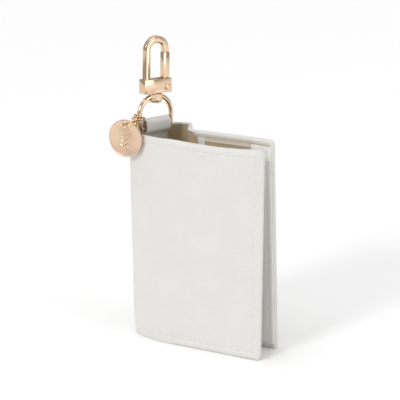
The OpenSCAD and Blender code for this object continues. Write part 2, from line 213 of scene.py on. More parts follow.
def fineGrainGroup():
    group, given, out = newGroup(
        "fineGrain",
        [("Vector", "NodeSocketVector", None), ("Cells per metre", "NodeSocketFloat", 1400.0)],
        [("Height", "NodeSocketFloat"), ("Shade", "NodeSocketFloat")])
    nodes, links = group.nodes, group.links
    warp = nodes.new("ShaderNodeTexNoise")
    warp.inputs["Scale"].default_value = 300
    links.new(given.outputs["Vector"], warp.inputs["Vector"])
    shift = nodes.new("ShaderNodeVectorMath")
    shift.operation = "MULTIPLY_ADD"
    shift.inputs[1].default_value = (0.0008, 0.0008, 0.0008)
    links.new(warp.outputs["Color"], shift.inputs[0])
    links.new(given.outputs["Vector"], shift.inputs[2])
    cells = nodes.new("ShaderNodeTexVoronoi")
    cells.feature = "DISTANCE_TO_EDGE"
    links.new(shift.outputs[0], cells.inputs["Vector"])
    links.new(given.outputs["Cells per metre"], cells.inputs["Scale"])
    creases = nodes.new("ShaderNodeMapRange")
    creases.inputs["From Max"].default_value = 0.22
    links.new(cells.outputs["Distance"], creases.inputs["Value"])
    cloud = nodes.new("ShaderNodeTexNoise")
    cloud.inputs["Scale"].default_value = 60
    cloud.inputs["Detail"].default_value = 4
    links.new(given.outputs["Vector"], cloud.inputs["Vector"])
    height = mathNode(nodes, links, "MULTIPLY_ADD", creases.outputs[0], 0.7, mathNode(
        nodes, links, "MULTIPLY", cloud.outputs["Fac"], 0.5))
    links.new(height, out.inputs["Height"])
    links.new(mathNode(nodes, links, "MULTIPLY_ADD", creases.outputs[0], 0.35, mathNode(
        nodes, links, "MULTIPLY", cloud.outputs["Fac"], 0.65)), out.inputs["Shade"])
    return group


def weaveGroup():
    group, given, out = newGroup(
        "clothWeave",
        [("Vector", "NodeSocketVector", None), ("Threads per metre", "NodeSocketFloat", 2200.0)],
        [("Height", "NodeSocketFloat"), ("Shade", "NodeSocketFloat")])
    nodes, links = group.nodes, group.links
    split = nodes.new("ShaderNodeSeparateXYZ")
    links.new(given.outputs["Vector"], split.inputs[0])
    turn = mathNode(nodes, links, "MULTIPLY", given.outputs["Threads per metre"], math.pi)
    across = mathNode(nodes, links, "SINE", mathNode(nodes, links, "MULTIPLY", split.outputs["X"], turn))
    along = mathNode(nodes, links, "SINE", mathNode(nodes, links, "MULTIPLY", split.outputs["Y"], turn))
    product = mathNode(nodes, links, "MULTIPLY", across, along)
    crossing = mathNode(nodes, links, "MULTIPLY_ADD", product, 0.5, 0.5)
    slubs = []
    for stretch in ((1500.0, 90.0, 1.0), (90.0, 1500.0, 1.0)):
        place = nodes.new("ShaderNodeMapping")
        place.inputs["Scale"].default_value = stretch
        links.new(given.outputs["Vector"], place.inputs["Vector"])
        threadNoise = nodes.new("ShaderNodeTexNoise")
        threadNoise.inputs["Scale"].default_value = 1.0
        threadNoise.inputs["Detail"].default_value = 1.5
        links.new(place.outputs[0], threadNoise.inputs["Vector"])
        slubs.append(threadNoise.outputs["Fac"])
    both = mathNode(nodes, links, "MULTIPLY", mathNode(nodes, links, "ADD", slubs[0], slubs[1]), 0.5)
    links.new(mathNode(nodes, links, "MULTIPLY_ADD", both, 0.8, mathNode(
        nodes, links, "MULTIPLY", crossing, 0.4)), out.inputs["Height"])
    links.new(mathNode(nodes, links, "MULTIPLY_ADD", both, 0.85, mathNode(
        nodes, links, "MULTIPLY", crossing, 0.15)), out.inputs["Shade"])
    return group


def handlingGroup():
    group, given, out = newGroup(
        "handlingMarks",
        [("Vector", "NodeSocketVector", None), ("Size per metre", "NodeSocketFloat", 120.0)],
        [("Smear", "NodeSocketFloat"), ("Scratch", "NodeSocketFloat")])
    nodes, links = group.nodes, group.links
    smear = nodes.new("ShaderNodeTexNoise")
    smear.inputs["Detail"].default_value = 5
    smear.inputs["Roughness"].default_value = 0.6
    links.new(given.outputs["Vector"], smear.inputs["Vector"])
    links.new(given.outputs["Size per metre"], smear.inputs["Scale"])
    place = nodes.new("ShaderNodeMapping")
    place.inputs["Rotation"].default_value = (0.3, 0.7, 0.2)
    place.inputs["Scale"].default_value = (300.0, 4200.0, 900.0)
    links.new(given.outputs["Vector"], place.inputs["Vector"])
    scratch = nodes.new("ShaderNodeTexNoise")
    scratch.inputs["Scale"].default_value = 1.0
    scratch.inputs["Detail"].default_value = 2
    links.new(place.outputs[0], scratch.inputs["Vector"])
    links.new(smear.outputs["Fac"], out.inputs["Smear"])
    links.new(scratch.outputs["Fac"], out.inputs["Scratch"])
    return group


grainGroup, clothGroup, marksGroup = fineGrainGroup(), weaveGroup(), handlingGroup()


def finish(name, group, perMetre, dark, light, rough, bumpDepth, useUv=False, metallic=0.0, **constants):
    mat = bpy.data.materials.new(name)
    mat.use_nodes = True
    nodes, links = mat.node_tree.nodes, mat.node_tree.links
    skin = nodes["Principled BSDF"]
    skin.inputs["Metallic"].default_value = metallic
    for label, value in constants.items():
        skin.inputs[label.replace("_", " ")].default_value = value
    where = nodes.new("ShaderNodeTexCoord")
    surface = nodes.new("ShaderNodeGroup")
    surface.node_tree = group
    surface.inputs[1].default_value = perMetre
    links.new(where.outputs["UV" if useUv else "Object"], surface.inputs["Vector"])
    tone, relief = surface.outputs[1], surface.outputs[0]
    if group is marksGroup:
        tone, relief = surface.outputs[0], surface.outputs[1]
    mix = nodes.new("ShaderNodeMix")
    mix.data_type = "RGBA"
    mix.inputs["A"].default_value = (*dark, 1)
    mix.inputs["B"].default_value = (*light, 1)
    links.new(tone, mix.inputs["Factor"])
    links.new(mix.outputs["Result"], skin.inputs["Base Color"])
    gloss = nodes.new("ShaderNodeMapRange")
    gloss.inputs["To Min"].default_value, gloss.inputs["To Max"].default_value = rough
    gloss.inputs["From Min"].default_value, gloss.inputs["From Max"].default_value = 0.25, 0.75
    links.new(tone, gloss.inputs["Value"])
    links.new(gloss.outputs[0], skin.inputs["Roughness"])
    raised = nodes.new("ShaderNodeBump")
    raised.inputs["Strength"].default_value = 1.0
    raised.inputs["Distance"].default_value = bumpDepth * mm
    links.new(relief, raised.inputs["Height"])
    links.new(raised.outputs[0], skin.inputs["Normal"])
    return mat


leather = finish("whiteLeather", grainGroup, 1300.0, (0.66, 0.645, 0.615), (0.76, 0.75, 0.725),
                 (0.52, 0.42), 0.05)
# Facing leather: the same white leather painted lighter, painted light that lifts the shade in the gap between
# the covers
facingLeatherPaintedLight = finish("turnedInLeatherPaintedLight", grainGroup, 1300.0, (0.80, 0.785, 0.755), (0.88, 0.87, 0.85),
                       (0.55, 0.45), 0.05)
lining = finish("beigeGoldCloth", clothGroup, 2000.0, (0.36, 0.27, 0.16), (0.56, 0.455, 0.30),
                (0.85, 0.7), 0.09, useUv=True, Sheen_Weight=0.25, Sheen_Roughness=0.5)
# Hem cloth painted paler than the lining: a painted highlight for the hem's top edge catching the light
hemPaintedHighlight = finish("hemClothPaintedHighlight", clothGroup, 2400.0, (0.58, 0.53, 0.44), (0.74, 0.70, 0.62),
                (0.8, 0.65), 0.06, useUv=True, Sheen_Weight=0.2, Sheen_Roughness=0.5)
thread = finish("waxedThread", marksGroup, 900.0, (0.70, 0.69, 0.66), (0.84, 0.83, 0.80), (0.6, 0.5), 0.03)
roseGold = finish("roseGoldPlate", marksGroup, 160.0, (0.70, 0.50, 0.34), (0.80, 0.61, 0.44),
                  (0.13, 0.22), 0.004, metallic=1.0)
charmGold = finish("satinRoseGold", marksGroup, 220.0, (0.76, 0.54, 0.38), (0.86, 0.65, 0.49),
                   (0.26, 0.36), 0.008, metallic=1.0)
linkGold = finish("yellowGoldPlate", marksGroup, 300.0, (0.66, 0.46, 0.20), (0.80, 0.60, 0.32),
                  (0.12, 0.24), 0.004, metallic=1.0)
springSteel = finish("springSteel", marksGroup, 500.0, (0.45, 0.45, 0.46), (0.62, 0.62, 0.62),
                     (0.22, 0.34), 0.004, metallic=1.0)
foam = finish("softFoam", grainGroup, 2500.0, (0.70, 0.68, 0.60), (0.80, 0.78, 0.72), (0.9, 0.8), 0.08)
board = finish("greyBoard", marksGroup, 400.0, (0.26, 0.20, 0.14), (0.40, 0.32, 0.24), (0.85, 0.75), 0.03)
print("finishes are ready")

def rightOf(h):
    return np.array([math.sin(h), -math.cos(h)])


def along(h):
    return np.array([math.cos(h), math.sin(h)])


def outlineRuns(c):
    runs, point, heading = [], np.array([0.0, 0.0]), math.pi

    def straight(length):
        nonlocal point
        runs.append((point, heading, length, 0.0))
        point = point + length * along(heading)

    def arc(radius, degrees):
        nonlocal point, heading
        turn = math.radians(degrees)
        runs.append((point, heading, abs(turn) * radius, turn))
        after = heading - turn
        point = point + math.copysign(radius, turn) * (rightOf(heading) - rightOf(after))
        heading = after

    straight(c["coverWide"])
    arc(c["easeRadius"], c["easeTurn"])
    arc(c["crownRadius"], c["crownTurn"])
    arc(c["flankLong"] / math.radians(c["flankTurn"]), c["flankTurn"])
    arc(c["shoulderRadius"], math.degrees(heading) + c["waistTurn"])
    drop = c["waistRadius"] * (1 - math.cos(math.radians(c["waistTurn"])))
    straight((point[1] - c["deep"] - drop) / math.sin(math.radians(c["waistTurn"])))
    arc(c["waistRadius"], -c["waistTurn"])
    straight(-point[0])
    return runs


runs = outlineRuns(case)
runEnds = np.cumsum([r[2] for r in runs])
seamAt = runEnds[2] + case["flankLong"] / 2
farEnd = runEnds[-1]


def outlineAt(u):
    k = min(int(np.searchsorted(runEnds, u)), len(runs) - 1)
    point, heading, length, turn = runs[k]
    s = u - (runEnds[k] - length)
    if turn == 0:
        return point + s * along(heading), heading
    after = heading - turn * s / length
    return point + length / turn * (rightOf(heading) - rightOf(after)), after


# Soft set of the covers: each fore edge leans a little, and the top edge rises or falls along its length
caseSet = dict(frontLean=1.1, backShift=-0.4, backLean=-1.7, topFrom=70.0,
               frontTop=[(0, 0.4), (12, -0.6), (24, -0.9), (37, -0.5), (50, 0.3), (62, 0.5), (80, 0.2),
                         (200, 0.2)],
               backTop=[(0, 0.6), (12, 1.2), (28, 1.4), (42, 1.6), (56, 1.2), (72, 0.2), (200, 0.2)])


def setOf(u, z):
    c, toEdge = caseSet, min(u, farEnd - u)
    near = ease((58 - toEdge) / 30)
    t = z / case["high"]
    sideways = c["frontLean"] * (2 * t - 1) if u < seamAt else c["backShift"] + c["backLean"] * t
    knots = c["frontTop"] if u < seamAt else c["backTop"]
    top = float(np.interp(toEdge, [k[0] for k in knots], [k[1] for k in knots]))
    return sideways * near, top * ease((z - c["topFrom"]) / (case["high"] - c["topFrom"]))


def onCase(u, depth, z):
    point, heading = outlineAt(u)
    x, y = point + depth * rightOf(heading)
    dx, dz = setOf(u, z)
    return place(x + dx, y, z + dz)


def steps(knots):
    out = []
    for (a, b), step in zip(zip([k[0] for k in knots], [k[0] for k in knots][1:]), [k[1] for k in knots]):
        n = max(1, round(abs(b - a) / step))
        out += [a + (b - a) * i / n for i in range(n)]
    return out + [knots[-1][0]]


# A closed skin between two depths below the outline, rounded over at its top and bottom edges
def layer(name, us, shares, outer, inner, low, high, edge, material):
    arcCount = 6
    verts = []
    for u in us:
        zl, zh, r = low(u), high(u), edge(u)
        zs = [zl + r + (zh - zl - 2 * r) * t for t in shares]
        loop = [(outer(u, z), z) for z in zs]
        for top in (True, False):
            z0 = zh - r if top else zl + r
            a, b = outer(u, z0), inner(u, z0)
            for i in range(1, arcCount):
                th = math.pi * i / arcCount
                c, s = math.cos(th), math.sin(th)
                c, s = math.copysign(abs(c) ** 0.7, c), s ** 0.7
                rise = r * s if top else -r * s
                loop.append(((a + b) / 2 - (b - a) / 2 * (c if top else -c), z0 + rise))
            if top:
                loop += [(inner(u, z), z) for z in reversed(zs)]
        verts += [onCase(u, d, z) for d, z in loop]
    n = len(verts) // len(us)
    faces = [(i * n + j, i * n + (j + 1) % n, (i + 1) * n + (j + 1) % n, (i + 1) * n + j)
             for i in range(len(us) - 1) for j in range(n)]
    for base in (0, (len(us) - 1) * n):
        ring = list(range(base, base + n))
        half = len(shares)
        faces += [(ring[i], ring[i + 1], ring[2 * half + arcCount - 3 - i], ring[2 * half + arcCount - 2 - i])
                  for i in range(half - 1)]
        faces.append(tuple(ring[half - 1:half + arcCount]))
        faces.append(tuple(ring[2 * half + arcCount - 2:] + ring[:1]))
    ob = meshObject(name, verts, faces, material)
    uvs = ob.data.uv_layers.new(name="surface")
    heights = np.array([v[2] for v in verts])
    flat = np.zeros((len(ob.data.loops), 2))
    for k, lp in enumerate(ob.data.loops):
        i = lp.vertex_index
        flat[k] = (us[i // n] * mm, heights[i])
    uvs.data.foreach_set("uv", flat.ravel())
    return ob


leatherLook = dict(stitchInset=3.6, grooveDeep=0.26, grooveWide=0.55, rollHigh=0.10, pillowHigh=0.22,
                   wave=0.16, crease=0.07, edgeRound=1.5, rollWide=3.4, rollDrop=0.55, rimWide=2.4, rimDrop=0.35,
                   cornerRound=2.2)


def shareList():
    foot = [(1.2, 0.6), (2.4, 0.24), (4.8, 0.9), (8, 1.7)]
    zs = steps(foot + [(97, 0.9), (100.2, 0.24), (102.6, 0.6), (103.8, 1)])
    return [(z - zs[0]) / (zs[-1] - zs[0]) for z in zs]


def coverThickness(u):
    toFront = min(u, farEnd - u)
    thick, thin = case["coverThick"], case["spineThick"]
    reach = case["coverWide"] if u < seamAt else runs[-1][2]
    return thin + (thick - thin) * (1 - ease((toFront - reach + 3.5) / 5.0))


def foreEdgeShrink(toEdge):
    r = case["coverThick"] / 2
    return r - math.sqrt(max(r * r - max(r - toEdge, 0) ** 2, 0.0))


def outerDepth(u, z):
    look = leatherLook
    toEdge = min(u, farEnd - u)
    w = min(z, case["high"] - z, toEdge)
    seen = 1 - ease((toEdge - 68) / 6) if u < seamAt else 1 - ease((toEdge - 40) / 5)
    inset = look["stitchInset"]
    lift = -look["grooveDeep"] * bump(w - inset, look["grooveWide"]) * seen
    if w < inset:
        lift += look["rollHigh"] * math.sin(math.pi * w / inset) * seen
    lift += look["pillowHigh"] * ease((w - inset) / 7)
    lift -= look["rollDrop"] * (1 - min(max(w, 0) / look["rollWide"], 1)) ** 2 * ease(toEdge / 1.2)
    fade = ease(w / 3)
    lift += look["wave"] * fade * noise.noise((u / 17, z / 21, 3.0))
    soft = ease((toEdge - 46) / 8)
    lift += look["crease"] * fade * soft * noise.noise((u / 2.6, z / 16, 9.0))
    return foreEdgeShrink(toEdge) - lift


def innerDepth(u, z):
    look = leatherLook
    toEdge = min(u, farEnd - u)
    onCover = coverThickness(u) - case["spineThick"]
    onCover /= case["coverThick"] - case["spineThick"]
    rim = look["rimWide"] * onCover + 1.2 * (1 - onCover)
    w = min(z, case["high"] - z, toEdge if onCover > 0.5 else 99)
    drop = look["rimDrop"] * onCover + 0.55 * (1 - onCover)
    dip = drop * ease((w - rim + 0.25) / 0.5)
    puff = 0.06 * math.sin(math.pi * min(max(w / rim, 0), 1))
    return coverThickness(u) - dip + puff - foreEdgeShrink(toEdge)


def edgeOf(u):
    toEdge = min(u, farEnd - u)
    half = coverThickness(u) / 2 - foreEdgeShrink(toEdge)
    return max(0.02, min(leatherLook["edgeRound"], half * 1.1))


def cornerDrop(u):
    r, toEdge = leatherLook["cornerRound"], min(u, farEnd - u)
    return r - math.sqrt(max(r * r - max(r - toEdge, 0) ** 2, 0.0))


# Stations from a fore edge inwards: close together round the edge and at the stitch line
def stationsFrom(knots):
    rounded = [1.6 * (1 - math.cos(math.pi / 2 * i / 8)) for i in range(9)]
    return [0.015] + rounded[1:] + steps([(1.9, 0.3), (2.6, 0.24), (4.9, 0.8), (8, 1.8)] + knots)


foreStations = stationsFrom([(46, 0.9), (seamAt, 1)])
backStations = [farEnd - s for s in reversed(stationsFrom([(38, 0.7), (farEnd - seamAt, 1)]))]
shares = shareList()

frontLeather = layer("leatherFront", foreStations, shares, outerDepth, innerDepth, cornerDrop,
                     lambda u: case["high"] - cornerDrop(u), edgeOf, leather)
backLeather = layer("leatherBack", backStations, shares, outerDepth, innerDepth, cornerDrop,
                    lambda u: case["high"] - cornerDrop(u), edgeOf, leather)
print("leather cover is made:", len(frontLeather.data.polygons), len(backLeather.data.polygons))

backHingeX = joints["back_cover_hinge"]["pos_m"][0]


def bendOver(ob):
    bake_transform(ob)


# Cloth lining over the inside of the spine and the covers
liningLook = dict(thick=0.42, sunk=0.08, spineRim=1.5, coverRim=2.7, ripple=0.12)


def liningOuter(u, z):
    return innerDepth(u, z) - liningLook["sunk"]


def liningInner(u, z):
    toEdge = min(u, farEnd - u)
    ripple = liningLook["ripple"] * ease((toEdge - 40) / 10) * noise.noise((u / 4, z / 22, 5.0))
    return innerDepth(u, z) + liningLook["thick"] - liningLook["sunk"] + ripple


def liningRim(u):
    onCover = (coverThickness(u) - case["spineThick"]) / (case["coverThick"] - case["spineThick"])
    return liningLook["spineRim"] + (liningLook["coverRim"] - liningLook["spineRim"]) * onCover


liningShares = [i / 40 for i in range(41)]


def makeLining(name, knots):
    return layer(name, steps(knots), liningShares, liningOuter, liningInner, liningRim,
                 lambda u: case["high"] - liningRim(u), lambda u: 0.2, lining)


frontLining = makeLining("liningFront", [(2.8, 2), (44, 0.9), (seamAt, 1)])
backLining = makeLining("liningBack", [(seamAt, 0.8), (farEnd - 38, 2), (farEnd - 2.8, 1)])
print("lining is made")


# Slip pockets: a cloth panel with a hem painted paler as a highlight, a leather-bound mouth towards the spine
# and a white leather facing painted lighter against the shade between the covers
pocketLook = dict(top=102.0, bottom=2.6, foreEdge=11.3, facingFrom=1.2, thick=0.5, standOff=0.55, hemHigh=1.5,
                  hemThick=0.28, bindingWide=4.0, bindingThick=0.85, mouthInset=6.0)
mouthAt = dict(front=case["coverWide"] - case["hingeGap"] - pocketLook["mouthInset"],
               back=(0.0 - backHingeX / mm + originX) - pocketLook["mouthInset"])


def pocketRise(u, z):
    toEdge, look = min(u, farEnd - u), pocketLook
    bow = math.sin(math.pi * min(max((z - look["bottom"]) / (look["top"] - look["bottom"]), 0), 1))
    soft = 0.10 * noise.noise((toEdge / 11, z / 13, 2.0 if u < seamAt else 7.0))
    sewn = ease((min(toEdge, z, case["high"] - z) - 3.6) / 3)
    return case["coverThick"] + 0.02 + look["standOff"] * ease((toEdge - 26) / 14) * bow ** 0.6 + soft * sewn


def pocketFace(u, z):
    toEdge = min(u, farEnd - u)
    w = min(z, case["high"] - z, toEdge)
    return pocketRise(u, z) + pocketLook["thick"] - 0.16 * bump(w - 3.6, 0.45)


def facingFace(u, z):
    toEdge = min(u, farEnd - u)
    ends = ease((toEdge - pocketLook["facingFrom"]) / 0.8)
    ends *= ease((pocketLook["foreEdge"] + 0.6 - toEdge) / 0.8)
    return pocketFace(u, z) + 0.10 + 0.16 * ends


def makePocket(side):
    look, mouth = pocketLook, mouthAt[side]
    reach = steps([(look["foreEdge"], 0.4), (look["foreEdge"] + 1.2, 1.4), (mouth, 1)])
    us = reach if side == "front" else [farEnd - s for s in reversed(reach)]
    zs = steps([(look["bottom"], 0.3), (5, 2.2), (99, 0.3), (look["top"], 1)])
    share = [(z - zs[0]) / (zs[-1] - zs[0]) for z in zs]
    panel = layer("pocket" + side.title(), us, share, pocketRise, pocketFace, lambda u: look["bottom"],
                  lambda u: look["top"], lambda u: 0.22, lining)
    # The hem's paler colour is a painted highlight along the pocket's top edge
    hem = layer("hem" + side.title(), us, [i / 6 for i in range(7)], lambda u, z: pocketFace(u, z) - 0.05,
                lambda u, z: pocketFace(u, z) + look["hemThick"], lambda u: look["top"] - look["hemHigh"],
                lambda u: look["top"] + 0.1, lambda u: 0.14, hemPaintedHighlight)
    reach = steps([(look["facingFrom"], 0.2), (2.4, 0.4), (3.0, 0.22), (4.4, 1.4),
                   (look["foreEdge"] - 0.5, 0.25), (look["foreEdge"] + 0.3, 1)])
    us = reach if side == "front" else [farEnd - s for s in reversed(reach)]
    # The facings take the lighter leather: painted light against the shade between the covers
    facing = layer("foreFacing" + side.title(), us, share, pocketRise, facingFace, lambda u: look["bottom"],
                   lambda u: look["top"], lambda u: 0.3, facingLeatherPaintedLight)
    reach = steps([(mouth, 0.5), (mouth + look["bindingWide"], 1)])
    us = reach if side == "front" else [farEnd - s for s in reversed(reach)]
    binding = layer("mouthBinding" + side.title(), us, [i / 50 for i in range(51)],
                    lambda u, z: pocketRise(u, z) - 0.02,
                    lambda u, z: pocketRise(u, z) + look["bindingThick"] - 0.25 * abs(
                        (min(u, farEnd - u) - mouth) / look["bindingWide"] - 0.5) ** 2 * 4,
                    lambda u: look["bottom"], lambda u: look["top"], lambda u: 0.3, leather)
    return panel, hem, binding, facing


pockets = {side: makePocket(side) for side in ("front", "back")}
print("pockets are made")

# Frames of the strap and of the leaning ring: s runs along the spine's wall, o faces outwards
barAt = Vector(joints["ring_swing"]["pos_m"])
barWay = Vector(joints["ring_swing"]["axis"]).normalized()
leanWay = Vector(joints["clasp_swivel"]["axis"]).normalized()
wallWay = Vector((barWay.x, barWay.y, 0)).normalized()
outWay = Vector((-wallWay.y, wallWay.x, 0))
if outWay.x > 0:
    outWay = -outWay
up = Vector((0, 0, 1))
strapShift = 0.85  # the strap's middle from the ring's, which hangs to the front of it


def atLoop(s, o, z):
    base = Vector((barAt.x, barAt.y, 0))
    return base + wallWay * ((s + strapShift) * mm) + outWay * (o * mm) + up * (z * mm)


def atRing(s, o, z):
    return barAt + barWay * (s * mm) + outWay * (o * mm) + leanWay * (z * mm - barAt.z)


# Sweeps a section of (side, normal) points along a path; side stays fixed and normal turns with the path
def swept(name, points, side, section, closed, material, smoothAngle=45):
    verts, n = [], len(points)
    for i, p in enumerate(points):
        before = points[i - 1] if closed or i else p
        after = points[(i + 1) % n] if closed or i < n - 1 else p
        normal = (after - before).normalized().cross(side).normalized()
        verts += [p + side * (a * mm) + normal * (b * mm) for a, b in section]
    m = len(section)
    rows = n if closed else n - 1
    faces = [(i * m + j, i * m + (j + 1) % m, (i + 1) % n * m + (j + 1) % m, (i + 1) % n * m + j)
             for i in range(rows) for j in range(m)]
    if not closed:
        faces += [tuple(range(m)), tuple(range((n - 1) * m, n * m))]
    return meshObject(name, verts, faces, material, smoothAngle)


def polar(r, degrees):
    return r * math.cos(math.radians(degrees)), r * math.sin(math.radians(degrees))


def roundSection(r, count=20):
    return [polar(r, 360 * i / count) for i in range(count)]


def bandSection(wide, thick, corner, count=5):
    out = []
    for cx, cy, start in ((1, 1, 0), (-1, 1, 90), (-1, -1, 180), (1, -1, 270)):
        for i in range(count + 1):
            dx, dy = polar(corner, start + 90 * i / count)
            out.append((cx * (wide / 2 - corner) + dx, cy * (thick / 2 - corner) + dy))
    return out


def lathed(name, profile, material, count=64):
    verts, faces = [], []
    for r, z in profile:
        turns = [2 * math.pi * k / count for k in range(count)]
        verts += [atRing(r * math.cos(a), r * math.sin(a), z) for a in turns]
    n = len(profile)
    closed = profile[0][0] > 0.01
    for i in range(n if closed else n - 1):
        j = (i + 1) % n
        faces += [(i * count + k, i * count + (k + 1) % count, j * count + (k + 1) % count, j * count + k)
                  for k in range(count)]
    ob = meshObject(name, verts, faces, material)
    bm = bmesh.new()
    bm.from_mesh(ob.data)
    bmesh.ops.remove_doubles(bm, verts=bm.verts, dist=1e-7)
    bmesh.ops.dissolve_degenerate(bm, edges=bm.edges, dist=1e-8)
    bmesh.ops.recalc_face_normals(bm, faces=bm.faces)
    bm.to_mesh(ob.data)
    bm.free()
    return ob


strapLook = dict(wide=14.4, thick=0.9, tailFoot=92.0, foldTop=110.2, legOut=2.0, legIn=1.1, corner=0.32)


def strapPath(look):
    r, barZ = look["legOut"], barAt[2] / mm
    foldZ = look["foldTop"] - look["thick"] / 2 - r
    path = [(r, look["tailFoot"] + (foldZ - look["tailFoot"]) * i / 16) for i in range(16)]
    path += [(r * math.cos(math.pi * i / 14), foldZ + r * math.sin(math.pi * i / 14)) for i in range(15)]
    path += [(-r, foldZ + (barZ - foldZ) * i / 3) for i in (1, 2)]
    arc = [(r * math.cos(math.radians(a)), barZ + r * math.sin(math.radians(a))) for a in range(180, 245, 10)]
    path += arc
    p0, p3 = arc[-1], (look["legIn"], barZ - 5.2)
    p1, p2 = (p0[0] + 1.3, p0[1] - 0.75), (p3[0], p3[1] + 2.0)
    for i in range(1, 9):
        t = i / 8
        w = ((1 - t) ** 3, 3 * t * (1 - t) ** 2, 3 * t * t * (1 - t), t ** 3)
        path.append(tuple(sum(w[k] * p[c] for k, p in enumerate((p0, p1, p2, p3))) for c in (0, 1)))
    path += [(look["legIn"], p3[1] + (look["tailFoot"] - p3[1]) * i / 6) for i in range(1, 7)]
    return [atLoop(0, o, z) for o, z in path]


strapSection = bandSection(strapLook["wide"], strapLook["thick"], strapLook["corner"])
strap = swept("strapLoop", strapPath(strapLook), wallWay, strapSection, False, leather)
print("strap loop is made")

# Stitches: each row is a line whose points carry the way that the thread faces
stitchLook = dict(inset=3.6, pitch=3.9, long=2.9, wide=0.5, high=0.34, tilt=4.0)


def stitchTree():
    tree = bpy.data.node_groups.new("sewnRow", "GeometryNodeTree")
    tree.interface.new_socket("Geometry", in_out="INPUT", socket_type="NodeSocketGeometry")
    for label in ("Pitch", "Stitch length", "Thread width", "Thread height", "Tilt"):
        tree.interface.new_socket(label, in_out="INPUT", socket_type="NodeSocketFloat")
    tree.interface.new_socket("Thread", in_out="INPUT", socket_type="NodeSocketMaterial")
    tree.interface.new_socket("Geometry", in_out="OUTPUT", socket_type="NodeSocketGeometry")
    nodes, links = tree.nodes, tree.links
    given, out = nodes.new("NodeGroupInput"), nodes.new("NodeGroupOutput")
    curve = nodes.new("GeometryNodeMeshToCurve")
    spaced = nodes.new("GeometryNodeResampleCurve")
    spaced.mode = "LENGTH"
    links.new(given.outputs["Geometry"], curve.inputs["Mesh"])
    links.new(curve.outputs["Curve"], spaced.inputs["Curve"])
    links.new(given.outputs["Pitch"], spaced.inputs["Length"])
    bead = nodes.new("GeometryNodeMeshUVSphere")
    bead.inputs["Segments"].default_value, bead.inputs["Rings"].default_value = 8, 5
    bead.inputs["Radius"].default_value = 0.5
    lying = nodes.new("GeometryNodeTransform")
    lying.inputs["Rotation"].default_value = (0, math.pi / 2, 0)
    shaped = nodes.new("GeometryNodeTransform")
    size = nodes.new("ShaderNodeCombineXYZ")
    for axis, label in (("X", "Stitch length"), ("Y", "Thread width"), ("Z", "Thread height")):
        links.new(given.outputs[label], size.inputs[axis])
    links.new(bead.outputs["Mesh"], lying.inputs["Geometry"])
    links.new(lying.outputs["Geometry"], shaped.inputs["Geometry"])
    links.new(size.outputs[0], shaped.inputs["Scale"])
    tangent = nodes.new("GeometryNodeInputTangent")
    faceWay = nodes.new("GeometryNodeInputNamedAttribute")
    faceWay.data_type = "FLOAT_VECTOR"
    faceWay.inputs["Name"].default_value = "facing"
    lengthwise = nodes.new("FunctionNodeAlignRotationToVector")
    lengthwise.axis = "X"
    links.new(tangent.outputs[0], lengthwise.inputs["Vector"])
    upright = nodes.new("FunctionNodeAlignRotationToVector")
    upright.axis, upright.pivot_axis = "Z", "X"
    links.new(lengthwise.outputs[0], upright.inputs["Rotation"])
    links.new(faceWay.outputs["Attribute"], upright.inputs["Vector"])
    drift = nodes.new("FunctionNodeRandomValue")
    drift.inputs["Seed"].default_value = 7
    less = nodes.new("ShaderNodeMath")
    less.operation = "MULTIPLY"
    less.inputs[1].default_value = -1
    links.new(given.outputs["Tilt"], less.inputs[0])
    links.new(less.outputs[0], drift.inputs[2])
    links.new(given.outputs["Tilt"], drift.inputs[3])
    spin = nodes.new("FunctionNodeAxisAngleToRotation")
    spin.inputs["Axis"].default_value = (0, 0, 1)
    links.new(drift.outputs[1], spin.inputs["Angle"])
    turned = nodes.new("FunctionNodeRotateRotation")
    turned.rotation_space = "LOCAL"
    links.new(upright.outputs[0], turned.inputs[0])
    links.new(spin.outputs[0], turned.inputs[1])
    copies = nodes.new("GeometryNodeInstanceOnPoints")
    links.new(spaced.outputs["Curve"], copies.inputs["Points"])
    links.new(shaped.outputs["Geometry"], copies.inputs["Instance"])
    links.new(turned.outputs[0], copies.inputs["Rotation"])
    real = nodes.new("GeometryNodeRealizeInstances")
    dressed = nodes.new("GeometryNodeSetMaterial")
    links.new(copies.outputs[0], real.inputs[0])
    links.new(real.outputs[0], dressed.inputs["Geometry"])
    links.new(given.outputs["Thread"], dressed.inputs["Material"])
    links.new(dressed.outputs[0], out.inputs["Geometry"])
    return tree


sewnRow = stitchTree()


def sewn(name, rows, look=stitchLook):
    verts, edges, facing = [], [], []
    for row in rows:
        start = len(verts)
        verts += [tuple(p) for p, way in row]
        facing += [tuple(way) for p, way in row]
        edges += [(start + i, start + i + 1) for i in range(len(row) - 1)]
    mesh = bpy.data.meshes.new(name)
    mesh.from_pydata(verts, edges, [])
    way = mesh.attributes.new("facing", "FLOAT_VECTOR", "POINT")
    way.data.foreach_set("vector", np.array(facing).ravel())
    ob = linked(bpy.data.objects.new(name, mesh))
    mod = ob.modifiers.new("rows", "NODES")
    mod.node_group = sewnRow
    values = {"Pitch": look["pitch"] * mm, "Stitch length": look["long"] * mm,
              "Thread width": look["wide"] * mm, "Thread height": look["high"] * mm,
              "Tilt": math.radians(look["tilt"]), "Thread": thread}
    for item in sewnRow.interface.items_tree:
        if item.in_out == "INPUT" and item.name in values:
            mod[item.identifier] = values[item.name]
    bpy.context.view_layer.update()
    made = bpy.data.meshes.new_from_object(ob.evaluated_get(bpy.context.evaluated_depsgraph_get()))
    ob.modifiers.clear()
    ob.data = made
    if not made.materials:
        made.materials.append(thread)
    made.shade_smooth()
    return ob


def onSurface(u, z, depthOf, sign):
    way = rightOf(outlineAt(u)[1]) * sign
    return onCase(u, depthOf(u, z), z), Vector((way[0], way[1], 0))


